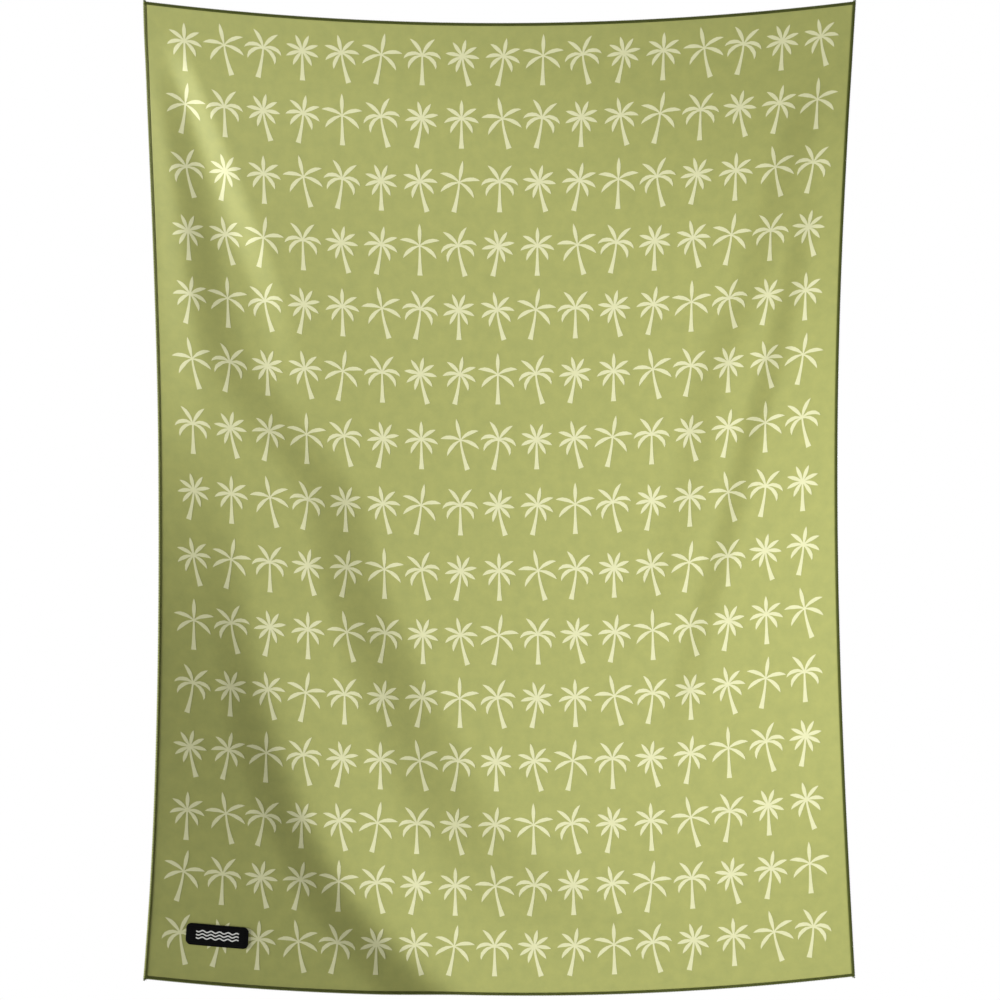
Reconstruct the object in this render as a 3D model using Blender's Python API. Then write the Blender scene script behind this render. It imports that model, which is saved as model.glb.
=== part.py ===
"""Quick dry travel towel, hung by its two top corners.

One panel of thin cloth, a three-thread overlock along each of its four sides, and a small
sewn-on label. Every piece is first made flat, as on the cutting table, in pattern space: u runs
across from the centre line, v runs down from the top edge, n stands out of the front face. It is
then bent to the way the towel hangs, with the front facing -Y and the held corners at Z = 0.
All sizes are in metres.
"""

import bisect
import math

import bmesh
import bpy
from mathutils import Vector

# The panel as it is cut, and its cloth.
TOWEL_WIDTH = 0.762
TOWEL_LENGTH = 1.041
CLOTH_THICKNESS = 0.0010

# The overlock pinches the raw edges of the cloth by this much on each face.
EDGE_SQUEEZE = 0.0001

# Clearance between two pieces that touch.
GAP = 0.0003

# The overlock: two looper threads cover the raw edge, a needle thread holds them.
OVERLOCK_WIDTH = 0.0028
LOOPER_THICKNESS = 0.0004
NEEDLE_THREAD_WIDTH = 0.0005
NEEDLE_THREAD_THICKNESS = 0.0003

# The label patch, near the lower left corner, and the thread that holds it.
LABEL_WIDTH = 0.0660
LABEL_HEIGHT = 0.0225
LABEL_THICKNESS = 0.0009
LABEL_CORNER_RADIUS = 0.0055
LABEL_FROM_SIDE = 0.0405
LABEL_FROM_BOTTOM = 0.0395
STITCH_INSET = 0.0012
STITCH_WIDTH = 0.0005
STITCH_THICKNESS = 0.0003
ROUND_CORNER_SEGMENTS = 5

# How the towel hangs. The corners are held this much closer together than the cloth is wide,
# so every row sags between the sides. The sides draw in as the folds take up width, and the
# lower left corner, which turns forward, is lifted a little by it.
CORNER_SLACK = 0.0019
LEFT_SIDE_BOW = 0.0176
LEFT_BOW_PLACE = 0.56
RIGHT_SIDE_BOW = 0.0192
RIGHT_BOW_PLACE = 0.49
LEFT_FOOT_DRAW_IN = 0.0070
RIGHT_FOOT_DRAW_IN = 0.0010
LEFT_FOOT_LIFT = 0.0065
HANG_SHARE = 0.999

# The middle of the towel hangs behind its sides by this much, from top to bottom.
# Each row is (share of the length, depth).
HOLLOW = ((0.0, -0.004), (0.10, -0.003), (0.48, 0.020), (0.72, 0.020), (1.0, 0.008))

# The folds stay out of the held top strip, which is flat, and are full below it.
FLAT_STRIP = 0.024
FOLDS_FULL_AT = 0.080

# Fold walls, each a soft step between two levels of the cloth, from the top down. A point is
# (share of the half width out from the centre line, share of the length, step, wall width).
# A positive step sets the cloth beyond the wall forward, a negative one sets it back.
WALLS = {
    "left_pale_wall": {
        "side": -1,
        "points": (
            (0.935, 0.020, -0.0030, 0.032),
            (0.905, 0.056, -0.0050, 0.032),
            (0.842, 0.115, -0.0068, 0.034),
            (0.784, 0.175, -0.0070, 0.040),
            (0.723, 0.234, -0.0064, 0.044),
            (0.666, 0.294, -0.0036, 0.044),
            (0.630, 0.351, -0.0016, 0.046),
            (0.600, 0.430, 0.0, 0.050),
        ),
    },
    "left_dark_wall": {
        "side": -1,
        "points": (
            (0.960, 0.050, 0.0, 0.036),
            (0.924, 0.118, 0.0026, 0.040),
            (0.888, 0.178, 0.0036, 0.044),
            (0.859, 0.239, 0.0044, 0.048),
            (0.832, 0.299, 0.0048, 0.056),
            (0.786, 0.359, 0.0044, 0.068),
            (0.664, 0.417, 0.0048, 0.088),
            (0.496, 0.494, 0.0066, 0.086),
            (0.439, 0.575, 0.0080, 0.090),
            (0.349, 0.656, 0.0096, 0.098),
            (0.254, 0.736, 0.0092, 0.112),
            (0.144, 0.817, 0.0084, 0.130),
            (-0.060, 0.900, 0.0056, 0.190),
            (-0.350, 1.000, 0.0, 0.300),
        ),
    },
    "left_edge_wall": {
        "side": -1,
        "points": (
            (1.000, 0.040, 0.0, 0.030),
            (0.985, 0.110, -0.0026, 0.034),
            (0.965, 0.220, -0.0040, 0.042),
            (0.950, 0.300, -0.0044, 0.050),
            (0.935, 0.380, -0.0032, 0.060),
            (0.920, 0.500, 0.0, 0.070),
        ),
    },
    "corner_dark_wall": {
        "side": -1,
        "points": (
            (0.830, 0.500, 0.0, 0.050),
            (0.816, 0.585, 0.0008, 0.050),
            (0.777, 0.666, 0.0018, 0.052),
            (0.732, 0.747, 0.0034, 0.058),
            (0.635, 0.826, 0.0040, 0.062),
            (0.513, 0.905, 0.0052, 0.068),
            (0.396, 0.954, 0.0060, 0.074),
            (0.270, 1.000, 0.0060, 0.080),
            (-0.100, 1.100, 0.0060, 0.080),
        ),
    },
    "right_inner_wall": {
        "side": 1,
        "points": (
            (0.900, 0.060, 0.0, 0.050),
            (0.860, 0.120, -0.0026, 0.054),
            (0.820, 0.180, -0.0024, 0.054),
            (0.723, 0.290, -0.0026, 0.052),
            (0.645, 0.350, -0.0026, 0.052),
            (0.600, 0.410, -0.0024, 0.052),
            (0.560, 0.490, -0.0016, 0.052),
            (0.480, 0.570, -0.0012, 0.054),
            (0.360, 0.680, 0.0, 0.058),
        ),
    },
    "right_outer_wall": {
        "side": 1,
        "points": (
            (0.900, 0.160, 0.0, 0.034),
            (0.875, 0.240, -0.0020, 0.036),
            (0.840, 0.310, -0.0027, 0.036),
            (0.810, 0.360, -0.0030, 0.036),
            (0.750, 0.430, -0.0032, 0.036),
            (0.700, 0.500, -0.0028, 0.036),
            (0.635, 0.580, -0.0026, 0.038),
            (0.555, 0.670, -0.0018, 0.042),
            (0.480, 0.790, 0.0, 0.048),
        ),
    },
}

# Beyond this line the lower left corner turns forward. A point is (share of the half width out
# from the centre line, share of the length, slope beyond it).
CORNER_TURN = (
    (0.830, 0.420, 0.0),
    (0.814, 0.504, 0.05),
    (0.763, 0.584, 0.10),
    (0.716, 0.664, 0.15),
    (0.645, 0.744, 0.18),
    (0.568, 0.824, 0.195),
    (0.433, 0.903, 0.195),
    (0.297, 0.952, 0.20),
    (0.140, 1.000, 0.20),
    (-0.300, 1.100, 0.20),
)
CORNER_TURN_SOFTNESS = 0.008

# Every piece is cut along the same lines of the cloth, so that their flat faces stay parallel.
# No ordinary line lies nearer than LEAST_CELL to a line that a piece's edge needs.
CELLS_ACROSS = 26
CELLS_DOWN = 32
LABEL_CELLS_ACROSS = 3
LABEL_CELLS_DOWN = 2
LEAST_CELL = 0.010

CLOTH_COLOUR = (0.402, 0.423, 0.098)
THREAD_COLOUR = (0.085, 0.095, 0.020)
LABEL_COLOUR = (0.006, 0.006, 0.007)
LABEL_THREAD_COLOUR = (0.012, 0.012, 0.013)

HALF_WIDTH = TOWEL_WIDTH / 2
FRONT = CLOTH_THICKNESS / 2
EDGE_BAND = OVERLOCK_WIDTH + GAP + NEEDLE_THREAD_WIDTH
EDGE_LIP = GAP + LOOPER_THICKNESS
LABEL_LEFT = -HALF_WIDTH + LABEL_FROM_SIDE
LABEL_RIGHT = LABEL_LEFT + LABEL_WIDTH
LABEL_FOOT = TOWEL_LENGTH - LABEL_FROM_BOTTOM
LABEL_TOP = LABEL_FOOT - LABEL_HEIGHT


def clear_scene():
    for old in list(bpy.data.objects):
        bpy.data.objects.remove(old, do_unlink=True)


def spline(places, values, down):
    """A smooth curve through values at places down the length, level beyond both ends."""
    if down <= places[0]:
        return values[0]
    if down >= places[-1]:
        return values[-1]
    last = len(places) - 1
    i = bisect.bisect_right(places, down) - 1

    def tangent(k):
        if k in (0, last):
            return 0.0
        return (values[k + 1] - values[k - 1]) / (places[k + 1] - places[k - 1])

    span = places[i + 1] - places[i]
    t = (down - places[i]) / span
    return (
        values[i] * (2 * t**3 - 3 * t**2 + 1)
        + values[i + 1] * (3 * t**2 - 2 * t**3)
        + tangent(i) * span * (t**3 - 2 * t**2 + t)
        + tangent(i + 1) * span * (t**3 - t**2)
    )


def smooth_step(low, high, value):
    t = min(max((value - low) / (high - low), 0.0), 1.0)
    return t * t * (3 - 2 * t)


def soft_ramp(distance, softness):
    """0 before a fold line and the distance beyond it, with a rounded turn between."""
    x = distance / softness
    return distance if x > 30 else softness * math.log1p(math.exp(x))


def forward(u, v):
    """How far the cloth stands in front of the held corners at a point of the pattern."""
    across = u / HALF_WIDTH
    down = v / TOWEL_LENGTH
    depth = -spline(*zip(*HOLLOW), down) * (1 - across**2)
    for wall in WALLS.values():
        places, downs, steps, widths = zip(*wall["points"])
        beyond = wall["side"] * u - spline(downs, places, down) * HALF_WIDTH
        half_wall = spline(downs, widths, down) / 2
        depth += spline(downs, steps, down) * smooth_step(-half_wall, half_wall, beyond)
    places, downs, slopes = zip(*CORNER_TURN)
    beyond = -u - spline(downs, places, down) * HALF_WIDTH
    depth += spline(downs, slopes, down) * soft_ramp(beyond, CORNER_TURN_SOFTNESS)
    return depth * smooth_step(FLAT_STRIP, FOLDS_FULL_AT, v)


def side_bow(down, bow, place):
    """How far a side draws in at a share of its length, most at its own place."""
    skew = math.log(0.5) / math.log(place)
    return bow * math.sin(math.pi * min(max(down, 0.0), 1.0) ** skew)


def hang(u, v):
    """Where the middle of the cloth lies in the room at a point of the pattern."""
    across = u / HALF_WIDTH
    down = v / TOWEL_LENGTH
    span = TOWEL_WIDTH - CORNER_SLACK
    sag = math.sqrt(3 / 8 * CORNER_SLACK * span)
    foot = smooth_step(0.5, 1.0, down)
    left = -span / 2 + side_bow(down, LEFT_SIDE_BOW, LEFT_BOW_PLACE) + LEFT_FOOT_DRAW_IN * foot
    right = span / 2 - side_bow(down, RIGHT_SIDE_BOW, RIGHT_BOW_PLACE) - RIGHT_FOOT_DRAW_IN * foot
    x = left + (right - left) * (across + 1) / 2
    lift = LEFT_FOOT_LIFT * foot * ((1 - across) / 2) ** 2
    z = -v * HANG_SHARE - sag * (1 - across**2) + lift
    return Vector((x, -forward(u, v), z))


def front_normal(u, v):
    step = 0.0005
    across = hang(u + step, v) - hang(u - step, v)
    down = hang(u, v + step) - hang(u, v - step)
    return down.cross(across).normalized()


def cut_lines(start, end, cells, needed):
    """The ordinary lines of one direction of the pattern, and those that a piece's edge needs."""
    ordinary = [start + (end - start) * i / cells for i in range(1, cells)]
    clear = [line for line in ordinary if min(abs(line - edge) for edge in needed) > LEAST_CELL]
    return sorted(clear + list(needed))


def evenly(start, end, cells):
    return [start + (end - start) * i / cells for i in range(cells + 1)]


U_LINES = cut_lines(
    -HALF_WIDTH,
    HALF_WIDTH,
    CELLS_ACROSS,
    [-HALF_WIDTH, -HALF_WIDTH + EDGE_BAND, HALF_WIDTH - EDGE_BAND, HALF_WIDTH]
    + evenly(LABEL_LEFT, LABEL_RIGHT, LABEL_CELLS_ACROSS),
)
V_LINES = cut_lines(
    0.0,
    TOWEL_LENGTH,
    CELLS_DOWN,
    [0.0, EDGE_BAND, FLAT_STRIP, TOWEL_LENGTH - EDGE_BAND, TOWEL_LENGTH]
    + evenly(LABEL_TOP, LABEL_FOOT, LABEL_CELLS_DOWN),
)


def cell_of(lines, value):
    """The cell that holds the value, and how far across it the value lies."""
    i = min(max(bisect.bisect_right(lines, value) - 1, 0), len(lines) - 2)
    return i, (value - lines[i]) / (lines[i + 1] - lines[i])


LINE_POINTS = [[hang(u, v) for v in V_LINES] for u in U_LINES]
LINE_NORMALS = [[front_normal(u, v) for v in V_LINES] for u in U_LINES]


def on_cloth(point):
    """The place in the room of a pattern point (u, v, n), on the flat cell that it lies over."""
    i, s = cell_of(U_LINES, point.x)
    j, t = cell_of(V_LINES, point.y)
    place = Vector((0.0, 0.0, 0.0))
    for a, share_across in ((i, 1 - s), (i + 1, s)):
        for b, share_down in ((j, 1 - t), (j + 1, t)):
            corner = LINE_POINTS[a][b] + point.z * LINE_NORMALS[a][b]
            place += share_across * share_down * corner
    return place


def slab(low, high):
    """A flat box of pattern space, from its low corner to its high one."""
    mesh = bmesh.new()
    bmesh.ops.create_cube(mesh, size=1.0)
    size = Vector(high) - Vector(low)
    bmesh.ops.scale(mesh, vec=size, verts=mesh.verts)
    bmesh.ops.translate(mesh, vec=(Vector(low) + Vector(high)) / 2, verts=mesh.verts)
    return mesh


def cut_at(mesh, point, normal):
    everything = list(mesh.verts) + list(mesh.edges) + list(mesh.faces)
    bmesh.ops.bisect_plane(mesh, geom=everything, dist=1e-7, plane_co=point, plane_no=normal)


def cut_along_cloth_lines(mesh):
    for axis, lines in ((0, U_LINES), (1, V_LINES)):
        low = min(vert.co[axis] for vert in mesh.verts)
        high = max(vert.co[axis] for vert in mesh.verts)
        normal = Vector((1.0, 0.0, 0.0)) if axis == 0 else Vector((0.0, 1.0, 0.0))
        for line in lines:
            if low + 1e-6 < line < high - 1e-6:
                cut_at(mesh, normal * line, normal)


def material(name, colour, roughness):
    made = bpy.data.materials.new(name)
    made.use_nodes = True
    shader = made.node_tree.nodes["Principled BSDF"]
    shader.inputs["Base Color"].default_value = (*colour, 1.0)
    shader.inputs["Roughness"].default_value = roughness
    shader.inputs["Metallic"].default_value = 0.0
    return made


def hang_node(name, mesh, colour, roughness):
    """Bends a flat piece to the hanging towel and adds it to the scene as one named object."""
    cut_along_cloth_lines(mesh)
    for vert in mesh.verts:
        vert.co = on_cloth(vert.co)
    bmesh.ops.recalc_face_normals(mesh, faces=mesh.faces)
    if mesh.calc_volume(signed=True) < 0:
        bmesh.ops.reverse_faces(mesh, faces=mesh.faces)
    data = bpy.data.meshes.new(name)
    mesh.to_mesh(data)
    mesh.free()
    data.materials.append(material(name + "_material", colour, roughness))
    data.shade_smooth()
    data.set_sharp_from_angle(angle=math.radians(40))
    bpy.data.collections["quick_dry_towel"].objects.link(bpy.data.objects.new(name, data))


def on_raw_edge(point):
    beyond_side = abs(point.x) > HALF_WIDTH - EDGE_BAND / 2
    return beyond_side or not EDGE_BAND / 2 < point.y < TOWEL_LENGTH - EDGE_BAND / 2


def towel_cloth():
    mesh = slab((-HALF_WIDTH, 0.0, -FRONT), (HALF_WIDTH, TOWEL_LENGTH, FRONT))
    cut_along_cloth_lines(mesh)
    for vert in mesh.verts:
        if on_raw_edge(vert.co):
            vert.co.z *= (FRONT - EDGE_SQUEEZE) / FRONT
    hang_node("towel_cloth", mesh, CLOTH_COLOUR, 0.85)


# Each side of the panel: the corner where its seam starts, which way the seam runs, and which
# way is inward. The side seams cover the corners, and the top and bottom seams end at them.
SIDES = {
    "left": ((-HALF_WIDTH, 0.0), (0, 1), (1, 0), -EDGE_LIP, TOWEL_LENGTH + EDGE_LIP),
    "right": ((HALF_WIDTH, 0.0), (0, 1), (-1, 0), -EDGE_LIP, TOWEL_LENGTH + EDGE_LIP),
    "top": ((-HALF_WIDTH, 0.0), (1, 0), (0, 1), EDGE_BAND + GAP, TOWEL_WIDTH - EDGE_BAND - GAP),
    "bottom": (
        (-HALF_WIDTH, TOWEL_LENGTH),
        (1, 0),
        (0, -1),
        EDGE_BAND + GAP,
        TOWEL_WIDTH - EDGE_BAND - GAP,
    ),
}


def seam_strip(side, inward_from, inward_to, n_from, n_to):
    """A flat strip along one side, between two distances in from the raw edge."""
    corner, along, inward, start, end = SIDES[side]
    ends = []
    for run, depth in ((start, inward_from), (end, inward_to)):
        ends.append([corner[k] + along[k] * run + inward[k] * depth for k in (0, 1)])
    low = (min(ends[0][0], ends[1][0]), min(ends[0][1], ends[1][1]), n_from)
    high = (max(ends[0][0], ends[1][0]), max(ends[0][1], ends[1][1]), n_to)
    return slab(low, high)


def upper_looper_thread(side):
    """Thread over the front of the edge, turned back over the raw edge of the cloth."""
    corner, _, inward, _, _ = SIDES[side]
    mesh = seam_strip(side, -EDGE_LIP, OVERLOCK_WIDTH, FRONT + GAP, FRONT + GAP + LOOPER_THICKNESS)
    outward = Vector((-inward[0], -inward[1], 0.0))
    raw_edge = Vector((corner[0], corner[1], 0.0)) + outward * GAP
    cut_at(mesh, raw_edge, outward)
    outer = [
        face
        for face in mesh.faces
        if face.normal.z < -0.9 and (face.calc_center_median() - raw_edge).dot(outward) > 0
    ]
    turned = bmesh.ops.extrude_face_region(mesh, geom=outer)["geom"]
    bmesh.ops.delete(mesh, geom=outer, context="FACES_ONLY")
    moved = [item for item in turned if isinstance(item, bmesh.types.BMVert)]
    bmesh.ops.translate(mesh, vec=(0.0, 0.0, -CLOTH_THICKNESS - GAP), verts=moved)
    hang_node("upper_looper_thread_" + side, mesh, THREAD_COLOUR, 0.6)


def lower_looper_thread(side):
    back = -FRONT - GAP
    mesh = seam_strip(side, -EDGE_LIP, OVERLOCK_WIDTH, back - LOOPER_THICKNESS, back)
    hang_node("lower_looper_thread_" + side, mesh, THREAD_COLOUR, 0.6)


def needle_thread(side):
    outer = OVERLOCK_WIDTH + GAP
    low = FRONT + GAP
    mesh = seam_strip(side, outer, outer + NEEDLE_THREAD_WIDTH, low, low + NEEDLE_THREAD_THICKNESS)
    hang_node("needle_thread_" + side, mesh, THREAD_COLOUR, 0.6)


def rounded_slab(inset, n_from, n_to, radius):
    """The label's outline drawn in by an inset, with round corners, between two heights."""
    low = (LABEL_LEFT + inset, LABEL_TOP + inset, n_from)
    high = (LABEL_RIGHT - inset, LABEL_FOOT - inset, n_to)
    mesh = slab(low, high)
    upright = [edge for edge in mesh.edges if abs((edge.verts[0].co - edge.verts[1].co).z) > 1e-6]
    bmesh.ops.bevel(
        mesh,
        geom=upright,
        affect="EDGES",
        offset=radius,
        segments=ROUND_CORNER_SEGMENTS,
        profile=0.5,
        material=-1,
    )
    return mesh


def label_patch():
    low = FRONT + GAP
    mesh = rounded_slab(0.0, low, low + LABEL_THICKNESS, LABEL_CORNER_RADIUS)
    hang_node("label_patch", mesh, LABEL_COLOUR, 0.5)


def label_stitching():
    """The closed line of thread that runs round the label, just inside its border."""
    low = FRONT + GAP + LABEL_THICKNESS + GAP
    mesh = rounded_slab(STITCH_INSET, low, low + STITCH_THICKNESS, LABEL_CORNER_RADIUS - STITCH_INSET)
    flats = [face for face in mesh.faces if abs(face.normal.z) > 0.9]
    bmesh.ops.inset_individual(mesh, faces=flats, thickness=STITCH_WIDTH, use_even_offset=True)
    rims = [[edge for edge in face.edges] for face in flats]
    bmesh.ops.delete(mesh, geom=flats, context="FACES_ONLY")
    bmesh.ops.bridge_loops(mesh, edges=rims[0] + rims[1])
    hang_node("label_stitching", mesh, LABEL_THREAD_COLOUR, 0.6)


def build():
    clear_scene()
    if "quick_dry_towel" not in bpy.data.collections:
        collection = bpy.data.collections.new("quick_dry_towel")
        bpy.context.scene.collection.children.link(collection)
    towel_cloth()
    for side in SIDES:
        upper_looper_thread(side)
        lower_looper_thread(side)
        needle_thread(side)
    label_patch()
    label_stitching()


build()
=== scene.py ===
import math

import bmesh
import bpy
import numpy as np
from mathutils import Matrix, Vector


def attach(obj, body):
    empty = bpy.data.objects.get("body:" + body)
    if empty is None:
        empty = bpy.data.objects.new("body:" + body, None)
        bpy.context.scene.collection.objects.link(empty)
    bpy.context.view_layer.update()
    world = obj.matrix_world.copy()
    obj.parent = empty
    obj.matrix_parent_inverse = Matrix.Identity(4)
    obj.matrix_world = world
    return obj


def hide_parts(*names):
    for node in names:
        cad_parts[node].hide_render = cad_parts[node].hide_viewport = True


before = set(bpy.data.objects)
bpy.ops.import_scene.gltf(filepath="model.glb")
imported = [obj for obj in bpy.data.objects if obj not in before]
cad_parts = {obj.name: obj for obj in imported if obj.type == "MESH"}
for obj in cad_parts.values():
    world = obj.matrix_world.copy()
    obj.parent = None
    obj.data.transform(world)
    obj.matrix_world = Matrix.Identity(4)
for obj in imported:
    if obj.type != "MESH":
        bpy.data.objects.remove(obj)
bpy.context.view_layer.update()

# A quick dry travel towel, hung by its two top corners: one panel of suede-faced microfibre
# with rows of printed palms, a three-thread overlock round its edge and a small woven label.
# Every piece is made flat, as on the cutting table: u runs across from the centre line, v runs
# down from the top edge, n stands out of the printed face. It is then laid on the hanging cloth.
# Sizes are in metres unless a name says otherwise.

MM = 0.001

# The panel as it is cut.
TOWEL_WIDTH = 0.762
TOWEL_LENGTH = 1.041
CLOTH_THICKNESS = 0.0010
HALF_WIDTH = TOWEL_WIDTH / 2
FRONT = CLOTH_THICKNESS / 2
OVERLOCK_WIDTH = 0.0028

# The label, near the lower left corner.
LABEL_WIDTH = 0.0660
LABEL_HEIGHT = 0.0225
LABEL_THICKNESS = 0.0009
LABEL_CORNER_RADIUS = 0.0055
LABEL_FROM_SIDE = 0.0405
LABEL_FROM_BOTTOM = 0.0395

# How the towel hangs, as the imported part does. A wall is a soft step between two levels of the
# cloth: (share of the half width, share of the length, step, wall width).
CORNER_SLACK = 0.0019
LEFT_SIDE_BOW = 0.0176
LEFT_BOW_PLACE = 0.56
RIGHT_SIDE_BOW = 0.0192
RIGHT_BOW_PLACE = 0.49
LEFT_FOOT_DRAW_IN = 0.0070
RIGHT_FOOT_DRAW_IN = 0.0010
LEFT_FOOT_LIFT = 0.0065
HANG_SHARE = 0.999
HOLLOW = ((0.0, -0.004), (0.10, -0.003), (0.48, 0.020), (0.72, 0.020), (1.0, 0.008))
FLAT_STRIP = 0.024
FOLDS_FULL_AT = 0.080
WALLS = {
    "left_pale_wall": {
        "side": -1,
        "points": (
            (0.935, 0.020, -0.0030, 0.032),
            (0.905, 0.056, -0.0050, 0.032),
            (0.842, 0.115, -0.0068, 0.034),
            (0.784, 0.175, -0.0070, 0.040),
            (0.723, 0.234, -0.0064, 0.044),
            (0.666, 0.294, -0.0036, 0.044),
            (0.630, 0.351, -0.0016, 0.046),
            (0.600, 0.430, 0.0, 0.050),
        ),
    },
    "left_dark_wall": {
        "side": -1,
        "points": (
            (0.960, 0.050, 0.0, 0.036),
            (0.924, 0.118, 0.0026, 0.040),
            (0.888, 0.178, 0.0036, 0.044),
            (0.859, 0.239, 0.0044, 0.048),
            (0.832, 0.299, 0.0048, 0.056),
            (0.786, 0.359, 0.0044, 0.068),
            (0.664, 0.417, 0.0048, 0.088),
            (0.496, 0.494, 0.0066, 0.086),
            (0.439, 0.575, 0.0080, 0.090),
            (0.349, 0.656, 0.0096, 0.098),
            (0.254, 0.736, 0.0092, 0.112),
            (0.144, 0.817, 0.0084, 0.130),
            (-0.060, 0.900, 0.0056, 0.190),
            (-0.350, 1.000, 0.0, 0.300),
        ),
    },
    "left_edge_wall": {
        "side": -1,
        "points": (
            (1.000, 0.040, 0.0, 0.030),
            (0.985, 0.110, -0.0026, 0.034),
            (0.965, 0.220, -0.0040, 0.042),
            (0.950, 0.300, -0.0044, 0.050),
            (0.935, 0.380, -0.0032, 0.060),
            (0.920, 0.500, 0.0, 0.070),
        ),
    },
    "corner_dark_wall": {
        "side": -1,
        "points": (
            (0.830, 0.500, 0.0, 0.050),
            (0.816, 0.585, 0.0008, 0.050),
            (0.777, 0.666, 0.0018, 0.052),
            (0.732, 0.747, 0.0034, 0.058),
            (0.635, 0.826, 0.0040, 0.062),
            (0.513, 0.905, 0.0052, 0.068),
            (0.396, 0.954, 0.0060, 0.074),
            (0.270, 1.000, 0.0060, 0.080),
            (-0.100, 1.100, 0.0060, 0.080),
        ),
    },
    "right_inner_wall": {
        "side": 1,
        "points": (
            (0.900, 0.060, 0.0, 0.050),
            (0.860, 0.120, -0.0026, 0.054),
            (0.820, 0.180, -0.0024, 0.054),
            (0.723, 0.290, -0.0026, 0.052),
            (0.645, 0.350, -0.0026, 0.052),
            (0.600, 0.410, -0.0024, 0.052),
            (0.560, 0.490, -0.0016, 0.052),
            (0.480, 0.570, -0.0012, 0.054),
            (0.360, 0.680, 0.0, 0.058),
        ),
    },
    "right_outer_wall": {
        "side": 1,
        "points": (
            (0.900, 0.160, 0.0, 0.034),
            (0.875, 0.240, -0.0020, 0.036),
            (0.840, 0.310, -0.0027, 0.036),
            (0.810, 0.360, -0.0030, 0.036),
            (0.750, 0.430, -0.0032, 0.036),
            (0.700, 0.500, -0.0028, 0.036),
            (0.635, 0.580, -0.0026, 0.038),
            (0.555, 0.670, -0.0018, 0.042),
            (0.480, 0.790, 0.0, 0.048),
        ),
    },
}

# Beyond this line the lower left corner turns forward: (share of the half width, share of the
# length, slope beyond it).
CORNER_TURN = (
    (0.830, 0.420, 0.0),
    (0.814, 0.504, 0.05),
    (0.763, 0.584, 0.10),
    (0.716, 0.664, 0.15),
    (0.645, 0.744, 0.18),
    (0.568, 0.824, 0.195),
    (0.433, 0.903, 0.195),
    (0.297, 0.952, 0.20),
    (0.140, 1.000, 0.20),
    (-0.300, 1.100, 0.20),
)
CORNER_TURN_SOFTNESS = 0.008

# The cloth is worked out on a grid of cells about this wide, and every piece lies on it.
CELL = 0.0045


# ---------------------------------------------------------------- the hanging cloth

def along_length(rows, down):
    """Smooth curves through the columns of a table of rows, whose second column is the place
    down the length. Both ends are level. Gives each other column's value at every place."""
    table = np.array(rows)
    places = table[:, 1]
    values = np.delete(table, 1, axis=1)
    tangents = np.zeros_like(values)
    tangents[1:-1] = (values[2:] - values[:-2]) / (places[2:] - places[:-2])[:, None]
    at = np.clip(down, places[0], places[-1])
    i = np.clip(np.searchsorted(places, at, side="right") - 1, 0, len(places) - 2)
    span = (places[i + 1] - places[i])[..., None]
    t = (at - places[i])[..., None] / span
    curve = (
        values[i] * (2 * t**3 - 3 * t**2 + 1)
        + values[i + 1] * (3 * t**2 - 2 * t**3)
        + tangents[i] * span * (t**3 - 2 * t**2 + t)
        + tangents[i + 1] * span * (t**3 - t**2)
    )
    return np.moveaxis(curve, -1, 0)


def smooth_step(low, high, value):
    t = np.clip((value - low) / (high - low), 0.0, 1.0)
    return t * t * (3 - 2 * t)


def forward(u, v):
    """How far the cloth stands in front of the held corners."""
    down = v / TOWEL_LENGTH
    hollow = along_length([(depth, place) for place, depth in HOLLOW], down)[0]
    depth = -hollow * (1 - (u / HALF_WIDTH) ** 2)
    for wall in WALLS.values():
        place, step, width = along_length(wall["points"], down)
        beyond = wall["side"] * u - place * HALF_WIDTH
        depth = depth + step * smooth_step(-width / 2, width / 2, beyond)
    place, slope = along_length(CORNER_TURN, down)
    beyond = (-u - place * HALF_WIDTH) / CORNER_TURN_SOFTNESS
    depth = depth + slope * CORNER_TURN_SOFTNESS * np.logaddexp(0.0, beyond)
    return depth * smooth_step(FLAT_STRIP, FOLDS_FULL_AT, v)


def side_bow(down, bow, place):
    skew = math.log(0.5) / math.log(place)
    return bow * np.sin(math.pi * np.clip(down, 0.0, 1.0) ** skew)


def hang(u, v):
    """Where the middle of the cloth lies in the room."""
    across = u / HALF_WIDTH
    down = v / TOWEL_LENGTH
    span = TOWEL_WIDTH - CORNER_SLACK
    sag = math.sqrt(3 / 8 * CORNER_SLACK * span)
    foot = smooth_step(0.5, 1.0, down)
    left = -span / 2 + side_bow(down, LEFT_SIDE_BOW, LEFT_BOW_PLACE) + LEFT_FOOT_DRAW_IN * foot
    right = span / 2 - side_bow(down, RIGHT_SIDE_BOW, RIGHT_BOW_PLACE) - RIGHT_FOOT_DRAW_IN * foot
    x = left + (right - left) * (across + 1) / 2
    lift = LEFT_FOOT_LIFT * foot * ((1 - across) / 2) ** 2
    z = -v * HANG_SHARE - sag * (1 - across**2) + lift
    return np.stack([x, -forward(u, v), z], axis=-1)


CELLS_ACROSS = round(TOWEL_WIDTH / CELL)
CELLS_DOWN = round(TOWEL_LENGTH / CELL)
GRID_U, GRID_V = np.meshgrid(
    np.linspace(-HALF_WIDTH, HALF_WIDTH, CELLS_ACROSS + 1),
    np.linspace(0.0, TOWEL_LENGTH, CELLS_DOWN + 1),
    indexing="ij",
)
NUDGE = 0.0005
CLOTH_POINTS = hang(GRID_U, GRID_V)
ACROSS = hang(GRID_U + NUDGE, GRID_V) - hang(GRID_U - NUDGE, GRID_V)
DOWN = hang(GRID_U, GRID_V + NUDGE) - hang(GRID_U, GRID_V - NUDGE)
CLOTH_NORMALS = np.cross(DOWN, ACROSS)
CLOTH_NORMALS /= np.linalg.norm(CLOTH_NORMALS, axis=-1, keepdims=True)


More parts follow.
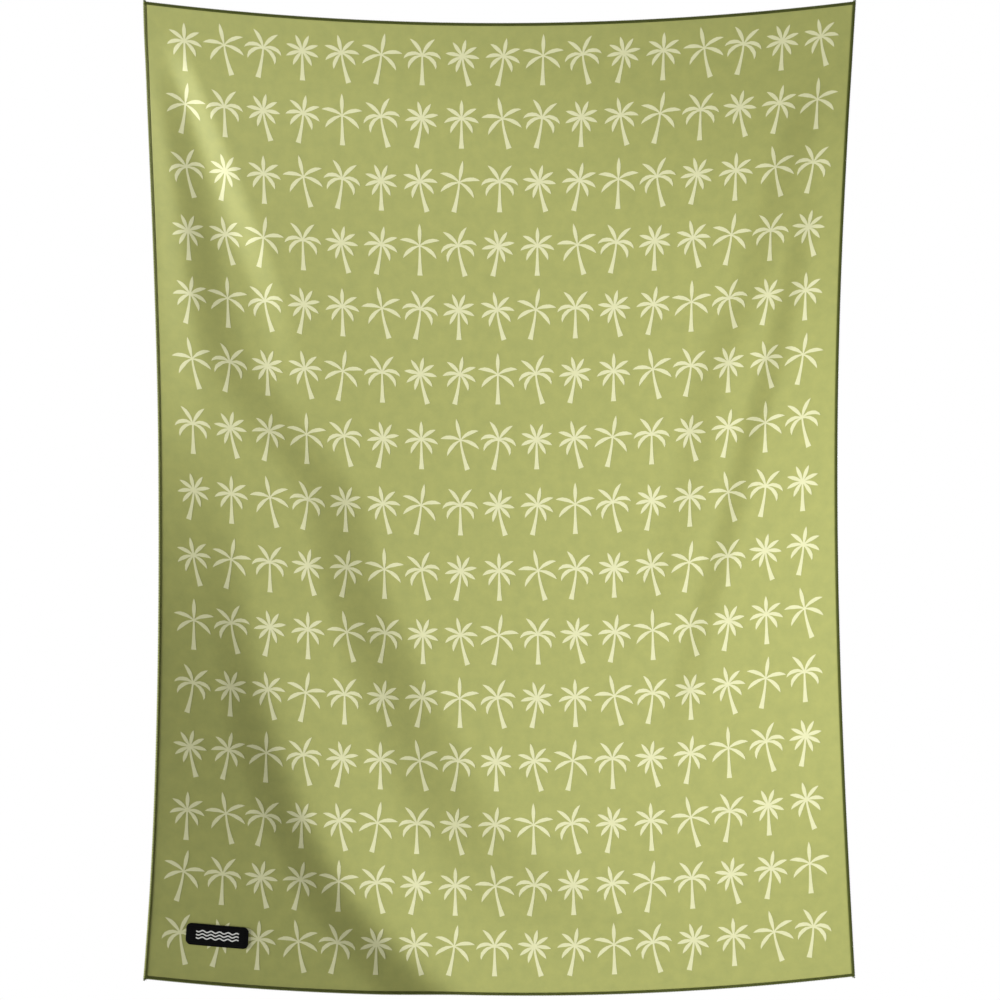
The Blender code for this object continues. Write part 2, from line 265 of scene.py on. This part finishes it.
def on_cloth(flat):
    """Places in the room of flat points (u, v, n), an array with one point to a row."""
    s = (flat[:, 0] + HALF_WIDTH) / TOWEL_WIDTH * CELLS_ACROSS
    t = flat[:, 1] / TOWEL_LENGTH * CELLS_DOWN
    i = np.clip(np.floor(s).astype(int), 0, CELLS_ACROSS - 1)
    j = np.clip(np.floor(t).astype(int), 0, CELLS_DOWN - 1)
    s = (s - i)[:, None]
    t = (t - j)[:, None]
    place = np.zeros((len(flat), 3))
    for a, share_across in ((i, 1 - s), (i + 1, s)):
        for b, share_down in ((j, 1 - t), (j + 1, t)):
            corner = CLOTH_POINTS[a, b] + flat[:, 2:3] * CLOTH_NORMALS[a, b]
            place += share_across * share_down * corner
    return place


# ---------------------------------------------------------------- materials

def linear(hex_colour):
    """A colour such as #AAB056, from sRGB to the linear values that a shader takes."""
    shares = [int(hex_colour[i : i + 2], 16) / 255 for i in (1, 3, 5)]
    return [c / 12.92 if c <= 0.04045 else ((c + 0.055) / 1.055) ** 2.4 for c in shares] + [1.0]


def new_material(name, colour, roughness, **sockets):
    """A material whose shader has these values on its own sockets."""
    made = bpy.data.materials.new(name)
    made.use_nodes = True
    shader = made.node_tree.nodes["Principled BSDF"]
    shader.inputs["Base Color"].default_value = linear(colour)
    shader.inputs["Roughness"].default_value = roughness
    for socket, value in sockets.items():
        shader.inputs[socket.replace("_", " ")].default_value = value
    return made


def add_node(made, kind, inputs=(), outputs=(), **settings):
    """Adds a node, sets it, and links it: inputs are (socket, value or source socket), outputs
    are (own socket, target socket)."""
    tree = made.node_tree
    node = tree.nodes.new(kind)
    for name, value in settings.items():
        setattr(node, name, value)
    for socket, value in inputs:
        if isinstance(value, bpy.types.NodeSocket):
            tree.links.new(value, node.inputs[socket])
        else:
            node.inputs[socket].default_value = value
    for socket, target in outputs:
        tree.links.new(node.outputs[socket], target)
    return node


def per_metre(size_mm):
    """How often a pattern with repeats of this size comes in a metre."""
    return 1000 / size_mm


def cloth_face(name, pale, deep, sheen, nap_mm=1.3, mottle_mm=14.0):
    """Knitted polyester microfibre, brushed to a suede nap: matt, with a broad pale gloss where
    light rakes it, faint cloudy patches where the nap lies differently, and a fine grain."""
    # The index is above polyester's 1.6, because the many fibre tips of a nap add to its gloss.
    made = new_material(
        name,
        pale,
        roughness=0.75,
        IOR=1.85,
        Specular_IOR_Level=1.0,
        Sheen_Weight=sheen,
        Sheen_Roughness=0.5,
    )
    shader = made.node_tree.nodes["Principled BSDF"]
    place = add_node(made, "ShaderNodeUVMap", uv_map="cut")
    uv = place.outputs["UV"]
    mottle = add_node(
        made,
        "ShaderNodeTexNoise",
        [("Vector", uv), ("Scale", per_metre(mottle_mm)), ("Detail", 4.0), ("Roughness", 0.6)],
    )
    soften = add_node(
        made,
        "ShaderNodeMapRange",
        [("Value", mottle.outputs["Fac"]), ("From Min", 0.3), ("From Max", 0.7)],
    )
    add_node(
        made,
        "ShaderNodeMix",
        [("Factor", soften.outputs["Result"]), ("A", linear(deep)), ("B", linear(pale))],
        [("Result", shader.inputs["Base Color"])],
        data_type="RGBA",
    )
    nap = add_node(
        made,
        "ShaderNodeTexNoise",
        [("Vector", uv), ("Scale", per_metre(nap_mm)), ("Detail", 2.0)],
    )
    add_node(
        made,
        "ShaderNodeBump",
        [("Height", nap.outputs["Fac"]), ("Strength", 0.25), ("Distance", 0.12 * MM)],
        [("Normal", shader.inputs["Normal"])],
    )
    return made


def sewing_thread(name, colour, lighter, ply_mm=0.5):
    """Spun polyester thread: matt, with a fine twist that breaks up its light."""
    made = new_material(name, colour, roughness=0.8, Specular_IOR_Level=0.1)
    shader = made.node_tree.nodes["Principled BSDF"]
    place = add_node(made, "ShaderNodeTexCoord")
    fuzz = add_node(
        made,
        "ShaderNodeTexNoise",
        [("Vector", place.outputs["Object"]), ("Scale", per_metre(ply_mm)), ("Detail", 2.0)],
    )
    add_node(
        made,
        "ShaderNodeMix",
        [("Factor", fuzz.outputs["Fac"]), ("A", linear(colour)), ("B", linear(lighter))],
        [("Result", shader.inputs["Base Color"])],
        data_type="RGBA",
    )
    add_node(
        made,
        "ShaderNodeBump",
        [("Height", fuzz.outputs["Fac"]), ("Strength", 0.4), ("Distance", 0.08 * MM)],
        [("Normal", shader.inputs["Normal"])],
    )
    return made


def woven_label(name, colour, lighter, rib_mm=0.7):
    """Dense damask ribbon: black and matt, with fine ribs along it."""
    made = new_material(name, colour, roughness=0.8, Specular_IOR_Level=0.1)
    shader = made.node_tree.nodes["Principled BSDF"]
    place = add_node(made, "ShaderNodeUVMap", uv_map="cut")
    # A wave texture repeats about three times to a unit at a scale of 1, so these ribs are about
    # three times as wide as the size given, which is as fine as still shows.
    ribs = add_node(
        made,
        "ShaderNodeTexWave",
        [("Vector", place.outputs["UV"]), ("Scale", per_metre(rib_mm) / 10), ("Distortion", 0.6)],
        wave_type="BANDS",
        bands_direction="Y",
    )
    add_node(
        made,
        "ShaderNodeMix",
        [("Factor", ribs.outputs["Fac"]), ("A", linear(colour)), ("B", linear(lighter))],
        [("Result", shader.inputs["Base Color"])],
        data_type="RGBA",
    )
    add_node(
        made,
        "ShaderNodeBump",
        [("Height", ribs.outputs["Fac"]), ("Strength", 0.3), ("Distance", 0.08 * MM)],
        [("Normal", shader.inputs["Normal"])],
    )
    return made


OLIVE_FACE = cloth_face("brushed_microfibre_olive", "#AEB147", "#A3A840", sheen=0.04)
OLIVE_BACK = cloth_face("brushed_microfibre_reverse", "#B9BD72", "#B2B66B", sheen=0.2)
# The print is pigment in the same nap, so it has the nap's gloss and grain.
CREAM_PRINT = cloth_face("pigment_print_cream", "#E8E8B2", "#E3E3AA", sheen=0.04)
OLIVE_THREAD = sewing_thread("spun_polyester_thread_olive", "#4A5222", "#5C6430")
BLACK_RIBBON = woven_label("damask_ribbon_black", "#0B0B0C", "#141415")
BLACK_THREAD = sewing_thread("spun_polyester_thread_black", "#111112", "#1D1D1F")
# Silicone ink dries to a smooth satin skin.
WHITE_INK = new_material(
    "raised_silicone_ink_white", "#E6E6E3", roughness=0.5, Specular_IOR_Level=0.4
)


# ---------------------------------------------------------------- making a piece

SHARP_FROM = math.radians(40)


def linked(name, data):
    """A new object in the scene."""
    made = bpy.data.objects.new(name, data)
    bpy.context.scene.collection.objects.link(made)
    return made


def towel_piece(name, data, nodes):
    """A finished mesh as a piece that rides with the towel and stands for these nodes."""
    piece = linked(name, data)
    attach(piece, "root")
    if nodes:
        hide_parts(*nodes)
    return piece


def finish_piece(name, mesh, materials, nodes=()):
    """Lays a flat bmesh on the hanging cloth and makes it a piece. The flat places of its points
    stay on it as the UV map called cut."""
    cut = mesh.loops.layers.uv.new("cut")
    for face in mesh.faces:
        for loop in face.loops:
            loop[cut].uv = loop.vert.co.xy
    data = bpy.data.meshes.new(name)
    mesh.to_mesh(data)
    mesh.free()
    flat = np.empty(len(data.vertices) * 3)
    data.vertices.foreach_get("co", flat)
    data.vertices.foreach_set("co", on_cloth(flat.reshape(-1, 3)).ravel())
    # The cutting table's down is the room's down, which turns every face over.
    data.flip_normals()
    data.update()
    for made in materials:
        data.materials.append(made)
    data.shade_smooth()
    data.set_sharp_from_angle(angle=SHARP_FROM)
    return towel_piece(name, data, nodes)


def flat_film(piece, name, thickness):
    """Makes a piece a film of ink with flat faces, this thick."""
    piece.data.shade_flat()
    film = piece.modifiers.new(name, "SOLIDIFY")
    film.thickness = thickness
    film.offset = 1.0
    return piece


def strip(mesh, centres, widths, n):
    """Adds a flat band to the mesh, along a line of centres, as wide as the widths."""
    made = bmesh.ops.create_grid(mesh, x_segments=1, y_segments=len(centres) - 1, size=0.5)
    last = len(centres) - 1
    for vert in made["verts"]:
        k = round((vert.co.y + 0.5) * last)
        way = (centres[min(k + 1, last)] - centres[max(k - 1, 0)]).normalized()
        across = Vector((-way.y, way.x)) * (1 if vert.co.x < 0 else -1)
        place = centres[k] + across * widths[k] / 2
        vert.co = (place.x, place.y, n)


# ---------------------------------------------------------------- the panel

def towel_panel():
    mesh = bmesh.new()
    bmesh.ops.create_grid(mesh, x_segments=CELLS_ACROSS, y_segments=CELLS_DOWN, size=0.5)
    bmesh.ops.scale(mesh, vec=(TOWEL_WIDTH, TOWEL_LENGTH, 1.0), verts=mesh.verts)
    bmesh.ops.translate(mesh, vec=(0.0, TOWEL_LENGTH / 2, 0.0), verts=mesh.verts)
    panel = finish_piece(
        "towel_panel", mesh, [OLIVE_FACE, OLIVE_BACK], ["towel_cloth"]
    )
    wall = panel.modifiers.new("cloth_thickness", "SOLIDIFY")
    wall.thickness = CLOTH_THICKNESS
    wall.offset = 0.0
    wall.material_offset = 1
    return panel


# ---------------------------------------------------------------- the printed palms

# A palm's crown is an even fan of sickle fronds, the same on both sides: how many fronds, how
# wide they fan out in degrees, how far the outer ones bend down near their first and again near
# their third quarter, and how long they are in mm. The fronds near the middle bend less. The
# palms are plain ones that follow this rule alone.
CROWNS = (
    (7, 232, 26, 20.0),
    (5, 204, 24, 23.5),
    (6, 176, 46, 23.0),
    (8, 270, 12, 18.5),
)
TRUNK_LENGTH_MM = 31.5

# A trunk is this wide at the crown, widens evenly by the taper and flares out at the foot.
TRUNK_WIDTH_MM = 1.8
TRUNK_TAPER_MM = 2.6
TRUNK_FLARE_MM = 1.4
TRUNK_STATIONS = (0.0, 0.2, 0.4, 0.6, 0.8, 1.0)

# A palm's foot stands this far to the side of its crown, in mm. The crown tips by so many
# degrees to each of those, and the trunk's line runs as its share down to this power.
TRUNK_LEANS_MM = (0.0, 7.5, -6.0)
CROWN_TIP_PER_LEAN = -1.6
TRUNK_BEND = 1.4

# The palms stand in even rows and take the crowns and the leans in turn. Each row starts one
# crown and two leans on from the row above.
PALM_ROWS = 15
PALMS_IN_A_ROW = 17
CROWNS_ON = 1
LEANS_ON = 2
FIRST_COLUMN = 0.0346
COLUMN_PITCH = 0.0433
FIRST_FOOT = 0.0678
ROW_PITCH = 0.0680

# The ink is a film this high over the face, and its leaves overlap in thin layers.
INK_LIFT = 0.05 * MM
INK_LAYER = 0.006 * MM
INK_THICKNESS = 0.05 * MM

LEAF_STEPS = 40
LEAF_STATIONS = (0.0, 0.16, 0.34, 0.52, 0.70, 0.87, 1.0)
LEAF_WIDTHS_MM = (1.0, 2.0, 3.5, 4.2, 3.8, 2.2, 0.15)


def crown_fronds(count, spread, bend):
    """The headings of each frond of a crown: at the crown, half way out and at the tip, in
    degrees clockwise from straight up."""
    fronds = []
    for k in range(count):
        across = 2 * k / (count - 1) - 1
        heading = across * spread / 2
        droop = bend * max(-1.0, min(1.0, 2 * across))
        fronds.append((heading, heading + droop, heading + 2 * droop))
    return fronds


def leaf_line(headings, length, turn):
    """The middle line of a frond from its crown, bending near its first and third quarters."""
    place = Vector((0.0, 0.0))
    line = [place.copy()]
    for k in range(LEAF_STEPS):
        share = (k + 0.5) / LEAF_STEPS * 2
        inner, outer = smooth_step(0, 1, share), smooth_step(1, 2, share)
        heading = turn + headings[0] + (headings[1] - headings[0]) * inner
        heading += (headings[2] - headings[1]) * outer
        way = math.radians(heading)
        place += Vector((math.sin(way), -math.cos(way))) * length * MM / LEAF_STEPS
        line.append(place.copy())
    return [line[round(station * LEAF_STEPS)] for station in LEAF_STATIONS]


def printed_palm(mesh, foot_place, crown_kind, lean):
    """One palm: a flared trunk with its crown of fronds. Its whole width is centred on the
    foot's place across."""
    count, spread, bend, length = crown_kind
    turn = CROWN_TIP_PER_LEAN * lean
    trunk = []
    trunk_widths = []
    for share in TRUNK_STATIONS:
        trunk.append(Vector((lean * share**TRUNK_BEND, TRUNK_LENGTH_MM * share)) * MM)
        width = TRUNK_WIDTH_MM + TRUNK_TAPER_MM * share + TRUNK_FLARE_MM * share**5
        trunk_widths.append(width * MM)
    leaves = [leaf_line(headings, length, turn) for headings in crown_fronds(count, spread, bend)]
    leaf_widths = [width * MM for width in LEAF_WIDTHS_MM]
    reach = [point.x for line in leaves + [trunk] for point in line]
    middle = (min(reach) + max(reach)) / 2
    crown = foot_place - Vector((middle, TRUNK_LENGTH_MM * MM))
    strip(mesh, [crown + point for point in trunk], trunk_widths, FRONT + INK_LIFT)
    for layer, line in enumerate(leaves):
        high = FRONT + INK_LIFT + INK_LAYER * (layer + 1)
        strip(mesh, [crown + point for point in line], leaf_widths, high)


# How far the print lies off its even grid, in mm, as a knit is never quite square when printed.
# The top rows slip to the right and the low ones to the left, and the side columns draw in. From
# the middle down the rows sag, except at the right, and the lowest sag less. Each row climbs a
# little to the right, and all but the top row stand a little high.
TOP_SLIP_MM = 4.2
LOW_SLIP_MM = 8.5
LOW_SLIP_LOST_AT_SIDES = 0.7
SIDE_DRAW_IN_MM = 5.6
MIDDLE_SAG_MM = 9.0
SAG_LOST_BELOW_MM = 6.5
EVEN_RISE_MM = 2.0
RIGHT_RISE_MM = 2.2


def print_drift(u, v):
    across = u / HALF_WIDTH
    down = v / TOWEL_LENGTH
    low = smooth_step(0.62, 0.88, down)
    slip = TOP_SLIP_MM * (1 - smooth_step(0.07, 0.32, down))
    slip -= LOW_SLIP_MM * low * (1 - LOW_SLIP_LOST_AT_SIDES * across**2)
    draw_in = -SIDE_DRAW_IN_MM * across**3
    sag = MIDDLE_SAG_MM * smooth_step(0.32, 0.67, down)
    sag -= SAG_LOST_BELOW_MM * smooth_step(0.84, 1.0, down)
    sag *= 1 - smooth_step(0.45, 0.95, across)
    rise = EVEN_RISE_MM * smooth_step(0.02, 0.17, down) + RIGHT_RISE_MM * across
    return Vector((slip + draw_in, sag - rise)) * MM


def palm_row(row):
    mesh = bmesh.new()
    for column in range(PALMS_IN_A_ROW):
        u = -HALF_WIDTH + FIRST_COLUMN + column * COLUMN_PITCH
        v = FIRST_FOOT + row * ROW_PITCH
        crown_kind = CROWNS[(column + CROWNS_ON * row) % len(CROWNS)]
        lean = TRUNK_LEANS_MM[(column + LEANS_ON * row) % len(TRUNK_LEANS_MM)]
        printed_palm(mesh, Vector((u, v)) + print_drift(u, v), crown_kind, lean)
    bmesh.ops.recalc_face_normals(mesh, faces=mesh.faces)
    piece = finish_piece(f"palm_row_{row + 1:02d}", mesh, [CREAM_PRINT])
    return flat_film(piece, "ink_film", INK_THICKNESS)


# ---------------------------------------------------------------- the overlock

# The side seams run past the corners, where their thread chain is cut short, and the top and
# bottom seams start inside them.
CHAIN_TAIL = 0.0022
SEAM_INSET = 0.0015

# Each side: the corner where its seam starts, which way it runs, which way is inward, and where
# along the side the seam starts and ends.
SIDES = {
    "left": ((-HALF_WIDTH, 0.0), (0, 1), (1, 0), -CHAIN_TAIL, TOWEL_LENGTH + CHAIN_TAIL),
    "right": ((HALF_WIDTH, 0.0), (0, 1), (-1, 0), -CHAIN_TAIL, TOWEL_LENGTH + CHAIN_TAIL),
    "top": ((-HALF_WIDTH, 0.0), (1, 0), (0, 1), SEAM_INSET, TOWEL_WIDTH - SEAM_INSET),
    "bottom": ((-HALF_WIDTH, TOWEL_LENGTH), (1, 0), (0, -1), SEAM_INSET, TOWEL_WIDTH - SEAM_INSET),
}

STITCH_PITCH = 1.7 * MM
LOOPER_RADIUS = 0.34 * MM
LOOPER_HIGH = FRONT + LOOPER_RADIUS * 0.7
NEEDLE_RADIUS = 0.2 * MM
NEEDLE_HIGH = FRONT + 0.25 * MM
NEEDLE_LOW = FRONT * 0.7

# The points of one stitch: share of the stitch, place inward from the raw edge, and height. A
# looper zigzags from the needle line out over the raw edge and back.
LOOPER_STITCH = (
    (0.0, OVERLOCK_WIDTH, LOOPER_HIGH),
    (0.22, OVERLOCK_WIDTH * 0.5, LOOPER_HIGH * 1.15),
    (0.42, 0.0, LOOPER_HIGH),
    (0.50, -LOOPER_RADIUS, FRONT * 0.4),
    (0.58, 0.0, LOOPER_HIGH),
    (0.78, OVERLOCK_WIDTH * 0.5, LOOPER_HIGH * 1.1),
)
NEEDLE_STITCH = (
    (0.0, OVERLOCK_WIDTH, NEEDLE_LOW),
    (0.2, OVERLOCK_WIDTH, NEEDLE_HIGH),
    (0.8, OVERLOCK_WIDTH, NEEDLE_HIGH),
)


def seam_point(side, run, inward, n):
    corner, along, inner, _, _ = SIDES[side]
    return [corner[k] + along[k] * run + inner[k] * inward for k in (0, 1)] + [n]


def thread(name, flat_lines, radius, made, node, roundness=1):
    """Sewing thread along lines of flat points, as one mesh of closed tubes that stands for this
    node. A roundness of 0 gives tubes of four sides."""
    curve = bpy.data.curves.new(name + "_run", "CURVE")
    curve.dimensions = "3D"
    curve.bevel_depth = radius
    curve.bevel_resolution = roundness
    curve.use_fill_caps = True
    for line in flat_lines:
        places = on_cloth(np.array(line))
        spline = curve.splines.new("POLY")
        spline.points.add(len(places) - 1)
        spline.points.foreach_set("co", np.c_[places, np.ones(len(places))].ravel())
    run = linked(name + "_run", curve)
    depsgraph = bpy.context.evaluated_depsgraph_get()
    data = bpy.data.meshes.new_from_object(run.evaluated_get(depsgraph))
    bpy.data.objects.remove(run, do_unlink=True)
    data.name = name
    mesh = bmesh.new()
    mesh.from_mesh(data)
    bmesh.ops.remove_doubles(mesh, verts=mesh.verts, dist=radius / 50)
    bmesh.ops.recalc_face_normals(mesh, faces=mesh.faces)
    mesh.to_mesh(data)
    mesh.free()
    data.materials.clear()
    data.materials.append(made)
    data.shade_smooth()
    return towel_piece(name, data, [node])


def stitch_line(side, stitch, face):
    """A thread's line along a seam, one stitch after the other. A face of -1 is the back."""
    _, _, _, start, end = SIDES[side]
    stitches = round((end - start) / STITCH_PITCH)
    line = []
    for k in range(stitches):
        at = start + (end - start) * k / stitches
        for share, inward, high in stitch:
            line.append(seam_point(side, at + share * STITCH_PITCH, inward, face * high))
    return line


def overlock(side):
    """The three threads of one seam. The needle thread dips into the cloth between stitches."""
    pieces = []
    for word, face in (("upper", 1), ("lower", -1)):
        piece = thread(
            f"{word}_loops_{side}",
            [stitch_line(side, LOOPER_STITCH, face)],
            LOOPER_RADIUS,
            OLIVE_THREAD,
            f"{word}_looper_thread_{side}",
        )
        pieces.append(piece)
    needle = thread(
        f"needle_stitches_{side}",
        [stitch_line(side, NEEDLE_STITCH, 1)],
        NEEDLE_RADIUS,
        OLIVE_THREAD,
        f"needle_thread_{side}",
        roundness=0,
    )
    return pieces + [needle]


# ---------------------------------------------------------------- the label

LABEL_LEFT = -HALF_WIDTH + LABEL_FROM_SIDE
LABEL_FOOT = TOWEL_LENGTH - LABEL_FROM_BOTTOM
LABEL_MIDDLE = Vector((LABEL_LEFT + LABEL_WIDTH / 2, LABEL_FOOT - LABEL_HEIGHT / 2))
LABEL_LOW = FRONT + 0.1 * MM
LABEL_HIGH = FRONT + 0.3 * MM + LABEL_THICKNESS
LABEL_SOFT_EDGE = 0.35 * MM
LABEL_STRIPS = 11


def label_ribbon():
    """The patch: a rounded slab with a soft edge, cut along lines so that it bends."""
    mesh = bmesh.new()
    bmesh.ops.create_cube(mesh, size=1.0)
    size = (LABEL_WIDTH, LABEL_HEIGHT, LABEL_HIGH - LABEL_LOW)
    bmesh.ops.scale(mesh, vec=size, verts=mesh.verts)
    middle = (LABEL_LOW + LABEL_HIGH) / 2
    bmesh.ops.translate(mesh, vec=(LABEL_MIDDLE.x, LABEL_MIDDLE.y, middle), verts=mesh.verts)
    soft = {"affect": "EDGES", "profile": 0.5, "material": -1}
    upright = [e for e in mesh.edges if abs((e.verts[0].co - e.verts[1].co).z) > MM / 10]
    bmesh.ops.bevel(mesh, geom=upright, offset=LABEL_CORNER_RADIUS, segments=8, **soft)
    rim = [e for e in mesh.edges if min(v.co.z for v in e.verts) > LABEL_HIGH - MM / 100]
    bmesh.ops.bevel(mesh, geom=rim, offset=LABEL_SOFT_EDGE, segments=3, **soft)
    for k in range(1, LABEL_STRIPS):
        everything = list(mesh.verts) + list(mesh.edges) + list(mesh.faces)
        place = (LABEL_LEFT + LABEL_WIDTH * k / LABEL_STRIPS, 0.0, 0.0)
        bmesh.ops.bisect_plane(mesh, geom=everything, dist=1e-7, plane_co=place, plane_no=(1, 0, 0))
    return finish_piece("label_ribbon", mesh, [BLACK_RIBBON], ["label_patch"])


def rounded_outline(inset, step):
    """Points at even steps round the label's outline, drawn in by an inset."""
    radius = LABEL_CORNER_RADIUS - inset
    half = (LABEL_WIDTH / 2 - inset - radius, LABEL_HEIGHT / 2 - inset - radius)
    corners = ((1, 1, 0), (-1, 1, 90), (-1, -1, 180), (1, -1, 270))
    outline = []
    for side_u, side_v, turn in corners:
        for k in range(7):
            way = math.radians(turn + 15 * k)
            offset = Vector((math.cos(way), math.sin(way))) * radius
            outline.append(LABEL_MIDDLE + Vector((side_u * half[0], side_v * half[1])) + offset)
    outline.append(outline[0])
    runs = np.r_[0, np.cumsum([(b - a).length for a, b in zip(outline, outline[1:])])]
    at = np.linspace(0, runs[-1], round(runs[-1] / step), endpoint=False)
    return [np.interp(at, runs, [point[k] for point in outline]) for k in (0, 1)]


# A stitch takes this many steps along the outline, and its thread stops two short of the next.
LABEL_STITCH_INSET = 1.2 * MM
LABEL_STITCH_STEP = 0.37 * MM
STEPS_PER_STITCH = 7
LABEL_THREAD_RADIUS = 0.16 * MM
LABEL_THREAD_BOW = 0.12 * MM


def label_stitches():
    """Separate lockstitches just inside the label's edge, each a short bowed thread."""
    us, vs = rounded_outline(LABEL_STITCH_INSET, LABEL_STITCH_STEP)
    lines = []
    for first in range(0, len(us) - STEPS_PER_STITCH, STEPS_PER_STITCH):
        line = []
        for k in range(STEPS_PER_STITCH - 1):
            bow = -LABEL_THREAD_BOW if k in (0, STEPS_PER_STITCH - 2) else LABEL_THREAD_BOW
            line.append((us[first + k], vs[first + k], LABEL_HIGH + bow))
        lines.append(line)
    return thread(
        "label_stitches",
        lines,
        LABEL_THREAD_RADIUS,
        BLACK_THREAD,
        "label_stitching",
    )


# The label's mark is plain: three rows of water ripples in raised white ink, in the middle.
RIPPLE_LENGTH = 0.045
RIPPLE_HEIGHT = 0.0009
RIPPLE_WIDTH = 0.0013
RIPPLE_WAVES = 5
POINTS_PER_WAVE = 8
RIPPLE_GAP = 0.0034
INK_ON_LABEL = LABEL_HIGH + 0.02 * MM
MARK_THICKNESS = 0.12 * MM


def label_mark():
    mesh = bmesh.new()
    start = LABEL_MIDDLE - Vector((RIPPLE_LENGTH / 2, 0.0))
    for row in (-1, 0, 1):
        line = []
        for k in range(RIPPLE_WAVES * POINTS_PER_WAVE + 1):
            share = k / (RIPPLE_WAVES * POINTS_PER_WAVE)
            swing = math.sin(share * RIPPLE_WAVES * 2 * math.pi) * RIPPLE_HEIGHT
            line.append(start + Vector((share * RIPPLE_LENGTH, row * RIPPLE_GAP + swing)))
        strip(mesh, line, [RIPPLE_WIDTH] * len(line), INK_ON_LABEL)
    bmesh.ops.recalc_face_normals(mesh, faces=mesh.faces)
    piece = finish_piece("label_mark", mesh, [WHITE_INK])
    return flat_film(piece, "raised_ink", MARK_THICKNESS)


# ---------------------------------------------------------------- the towel

panel = towel_panel()
trim = [palm_row(row) for row in range(PALM_ROWS)]
for side in SIDES:
    trim += overlock(side)
trim += [label_ribbon(), label_stitches(), label_mark()]


# ---------------------------------------------------------------- floor, light and camera

FLOOR_RADIUS = 3.9
FLOOR_LEVEL = -1.6


def studio_floor():
    mesh = bmesh.new()
    bmesh.ops.create_circle(mesh, cap_ends=True, segments=64, radius=FLOOR_RADIUS)
    bmesh.ops.translate(mesh, vec=(0.0, 0.0, FLOOR_LEVEL), verts=mesh.verts)
    data = bpy.data.meshes.new("studio_floor")
    mesh.to_mesh(data)
    mesh.free()
    # Matt floor paint, so it shows no lamp.
    data.materials.append(new_material("painted_studio_floor", "#F2F2F0", roughness=0.9))
    floor = linked("studio_floor", data)
    # The gloss of the nap shows the lamps only, as it would over a dark floor.
    floor.visible_glossy = False


def white_surroundings(fill):
    """White behind the towel, and a dimmer even fill on its colour but not in its gloss."""
    world = bpy.data.worlds.new("white_studio")
    world.use_nodes = True
    world.node_tree.nodes.clear()
    path = add_node(world, "ShaderNodeLightPath")
    on_colour = add_node(
        world, "ShaderNodeMath", [(0, path.outputs["Is Diffuse Ray"]), (1, fill)],
        operation="MULTIPLY",
    )
    white = ("Color", (1, 1, 1, 1))
    seen = add_node(world, "ShaderNodeBackground", [white, ("Strength", 1.0)])
    cast = add_node(
        world, "ShaderNodeBackground", [white, ("Strength", on_colour.outputs["Value"])]
    )
    mix = add_node(
        world,
        "ShaderNodeMixShader",
        [
            ("Fac", path.outputs["Is Camera Ray"]),
            (1, cast.outputs["Background"]),
            (2, seen.outputs["Background"]),
        ],
    )
    add_node(world, "ShaderNodeOutputWorld", [("Surface", mix.outputs["Shader"])])
    bpy.context.scene.world = world


def aimed(name, data, azimuth, elevation, distance, target):
    """A light, flag or camera at a compass place round a target: azimuth 0 is in front, and a
    positive one is to the right."""
    turn, tilt = math.radians(azimuth), math.radians(elevation)
    level = math.cos(tilt)
    out = Vector((math.sin(turn) * level, -math.cos(turn) * level, math.sin(tilt)))
    placed = linked(name, data)
    placed.location = Vector(target) + out * distance
    placed.rotation_euler = out.to_track_quat("Z", "Y").to_euler()
    return placed


def soft_sun(name, azimuth, elevation, strength, spread):
    sun = bpy.data.lights.new(name, "SUN")
    sun.energy = strength
    sun.angle = math.radians(spread)
    aimed(name, sun, azimuth, elevation, 3.0, (0.0, 0.0, -0.5))


def light_flag(name, place, distance, target, size, edge_middle=(0.0, 0.0), edge_slope=0):
    """A flag between a lamp and the target that shades it softly. Its lower edge passes this
    far right of and above the target, as the lamp sees it, at this slope in degrees."""
    mesh = bmesh.new()
    bmesh.ops.create_grid(mesh, x_segments=1, y_segments=1, size=0.5)
    bmesh.ops.scale(mesh, vec=(*size, 1.0), verts=mesh.verts)
    bmesh.ops.translate(mesh, vec=(0.0, size[1] / 2, 0.0), verts=mesh.verts)
    slope = Matrix.Rotation(math.radians(edge_slope), 3, "Z")
    bmesh.ops.rotate(mesh, cent=(0.0, 0.0, 0.0), matrix=slope, verts=mesh.verts)
    bmesh.ops.translate(mesh, vec=(*edge_middle, 0.0), verts=mesh.verts)
    data = bpy.data.meshes.new(name)
    mesh.to_mesh(data)
    mesh.free()
    # Black felt soaks up light.
    data.materials.append(new_material("black_felt_flag", "#101010", roughness=0.9))
    flag = aimed(name, data, *place, distance, target)
    flag.visible_camera = False
    flag.visible_diffuse = False
    flag.visible_glossy = False


studio_floor()
white_surroundings(0.25)

# The key comes low from the left and rakes the folds. Its flags keep it off the top right and
# soften it on the first fold at the left. A light behind brings up the plain back.
KEY_PLACE = (-66, 2)
soft_sun("key_light", *KEY_PLACE, strength=5.1, spread=25)
light_flag(
    "top_right_flag",
    KEY_PLACE,
    distance=1.9,
    target=(0.0, 0.0, -0.02),
    size=(1.2, 0.6),
    edge_middle=(0.025, 0.270),
    edge_slope=-28,
)
light_flag(
    "top_left_bar", KEY_PLACE, distance=0.5, target=(-0.30, 0.0, -0.36), size=(0.022, 0.36)
)
soft_sun("back_light", 160, 30, strength=2.2, spread=30)

# The lens is long, so that the towel keeps its flat, square-on look.
CAMERA_DISTANCE = 4.0
VIEW_WIDTH = 1.067
VIEW_MIDDLE = (0.0005, 0.0, -0.532)
camera_data = bpy.data.cameras.new("camera")
camera_data.sensor_width = 36.0
camera_data.lens = camera_data.sensor_width * CAMERA_DISTANCE / VIEW_WIDTH
camera = aimed("camera", camera_data, 0, 0, CAMERA_DISTANCE, VIEW_MIDDLE)
bpy.context.scene.camera = camera
bpy.context.scene.view_settings.view_transform = "Standard"
